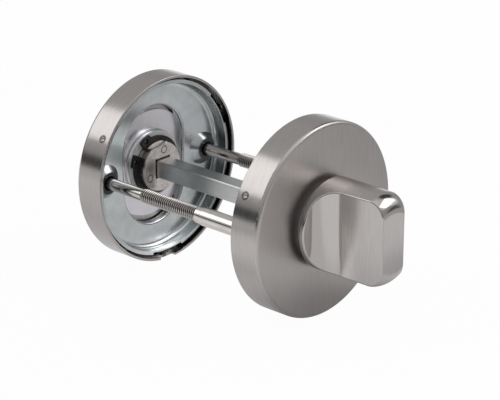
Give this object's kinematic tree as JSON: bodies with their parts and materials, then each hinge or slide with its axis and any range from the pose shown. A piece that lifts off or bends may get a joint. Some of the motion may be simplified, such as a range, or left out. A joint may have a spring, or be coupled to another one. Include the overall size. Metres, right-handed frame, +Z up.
{
  "type": "bathroom thumb turn lock",
  "caption": "Bathroom thumb turn lock set: round thumb turn rose, square spindle, coin release rose, and bolts with sleeves that clamp the door.",
  "frame": {"origin": "on the spindle axis, in the door-side plane of the inside rose (the thumb turn's rose)", "axes": "+Z up, +Y along the spindle from the inside rose through the door to the outside rose, thumb turn towards -Y, +X to the right seen from the thumb turn's side"},
  "size_m": [0.053, 0.0911, 0.053],
  "materials": {
    "satin_nickel": "satin brushed",
    "zinc_plated_steel": "zinc plated, soft sheen",
    "die_cast_zinc": "as cast, matte",
    "bright_nickel": "polished nickel",
    "black_nylon": "moulded",
    "pale_nylon": "moulded",
    "black_spring_steel": "phosphated"
  },
  "bodies": {
    "inside_rose": {"inside_cap": "satin_nickel", "inside_plate": "zinc_plated_steel", "inside_backing": "zinc_plated_steel", "inside_bush": "black_nylon", "inside_washer": "pale_nylon", "left_sleeve": "bright_nickel", "right_sleeve": "bright_nickel"},
    "turn": {"thumb_turn": "satin_nickel", "spindle": "zinc_plated_steel", "spindle_pin": "zinc_plated_steel", "inside_clip": "black_spring_steel"},
    "outside_rose": {"outside_cap": "satin_nickel", "outside_plate": "zinc_plated_steel", "outside_backing": "zinc_plated_steel", "outside_bush": "black_nylon", "outside_washer": "pale_nylon"},
    "release": {"release_hub": "die_cast_zinc", "outside_clip": "black_spring_steel"},
    "left_bolt": {"left_bolt": "bright_nickel"},
    "right_bolt": {"right_bolt": "bright_nickel"}
  },
  "joints": [
    {"name": "thumb_turn_hinge", "type": "hinge", "parent": "inside_rose", "child": "turn", "pos_m": [0, 0, 0], "axis": [0, -1, 0], "range_deg": [-90, 90]},
    {"name": "outside_rose_slide", "type": "slide", "parent": "inside_rose", "child": "outside_rose", "axis": [0, -1, 0], "range_m": [0, 0.004]},
    {"name": "release_hinge", "type": "hinge", "parent": "outside_rose", "child": "release", "pos_m": [0, 0.048, 0], "axis": [0, -1, 0], "range_deg": [-90, 90]},
    {"name": "left_bolt_turn", "type": "hinge", "parent": "outside_rose", "child": "left_bolt", "pos_m": [-0.019, 0.048, 0], "axis": [0, -1, 0], "range_deg": [0, 2057.2]},
    {"name": "right_bolt_turn", "type": "hinge", "parent": "outside_rose", "child": "right_bolt", "pos_m": [0.019, 0.048, 0], "axis": [0, -1, 0], "range_deg": [0, 2057.2]}
  ],
  "couplings": [
    {"joint": "release_hinge", "follows": "thumb_turn_hinge", "ratio": 1},
    {"joint": "left_bolt_turn", "follows": "outside_rose_slide", "rad_per_m": 8976},
    {"joint": "right_bolt_turn", "follows": "outside_rose_slide", "rad_per_m": 8976}
  ]
}
